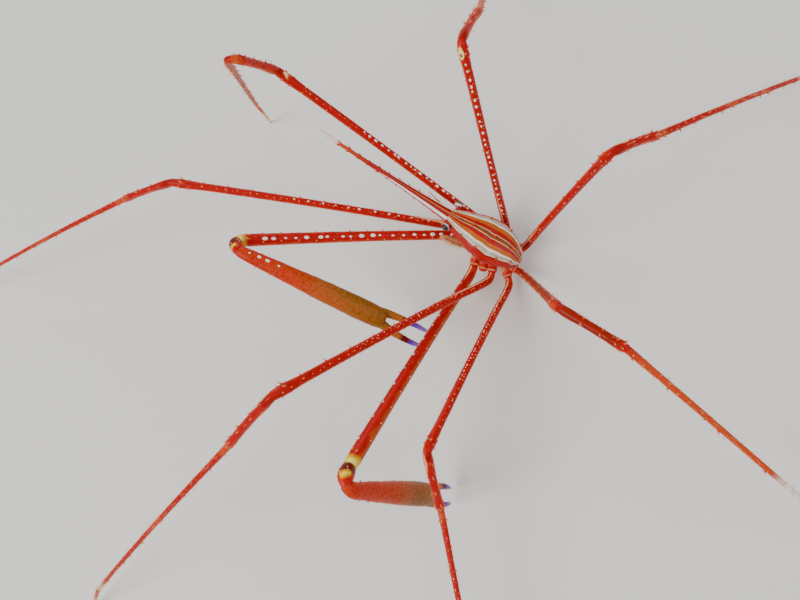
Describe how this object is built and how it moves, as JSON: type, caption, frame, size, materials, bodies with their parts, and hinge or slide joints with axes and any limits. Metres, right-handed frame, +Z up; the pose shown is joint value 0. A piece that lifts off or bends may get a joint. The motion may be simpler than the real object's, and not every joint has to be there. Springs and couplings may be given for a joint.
{
  "type": "arrow crab",
  "caption": "A life-size arrow crab standing still on long thin legs, with a pointed rostrum, a small striped body and slender folded claws.",
  "frame": {"origin": "on the floor, at the middle of the footprint of the whole crab", "axes": "+X along the crab's level heading, towards the rostrum; +Y to its left; +Z up from the floor"},
  "size_m": [0.2324, 0.189, 0.0598],
  "materials": {
    "shell": "satin, banded red, gold and cream",
    "limb": "satin, red with pale spots and spines",
    "hand": "satin, orange to olive",
    "finger": "satin, violet",
    "flesh": "satin, pale",
    "eye": "gloss"
  },
  "bodies": {
    "root": {"carapace": "shell", "rostrum": "shell", "thorax": "flesh", "abdomen": "flesh", "eye_left": "eye", "antenna_left": "flesh", "maxilliped_left": "flesh", "cheliped_left_merus": "limb", "cheliped_left_carpus": "limb", "cheliped_left_palm": "hand", "cheliped_left_finger": "finger", "eye_right": "eye", "antenna_right": "flesh", "maxilliped_right": "flesh", "cheliped_right_merus": "limb", "cheliped_right_carpus": "limb", "cheliped_right_palm": "hand", "cheliped_right_finger": "finger", "leg_left_2_merus": "limb", "leg_left_2_carpus": "limb", "leg_left_2_propodus": "limb", "leg_left_2_dactylus": "limb", "leg_left_3_merus": "limb", "leg_left_3_carpus": "limb", "leg_left_3_propodus": "limb", "leg_left_3_dactylus": "limb", "leg_left_4_merus": "limb", "leg_left_4_carpus": "limb", "leg_left_4_propodus": "limb", "leg_left_4_dactylus": "limb", "leg_right_1_merus": "limb", "leg_right_1_carpus": "limb", "leg_right_1_propodus": "limb", "leg_right_1_dactylus": "limb", "leg_right_2_merus": "limb", "leg_right_2_carpus": "limb", "leg_right_2_propodus": "limb", "leg_right_2_dactylus": "limb", "leg_right_3_merus": "limb", "leg_right_3_carpus": "limb", "leg_right_3_propodus": "limb", "leg_right_3_dactylus": "limb", "leg_right_4_merus": "limb", "leg_right_4_carpus": "limb", "leg_right_4_propodus": "limb", "leg_right_4_dactylus": "limb"}
  },
  "joints": []
}
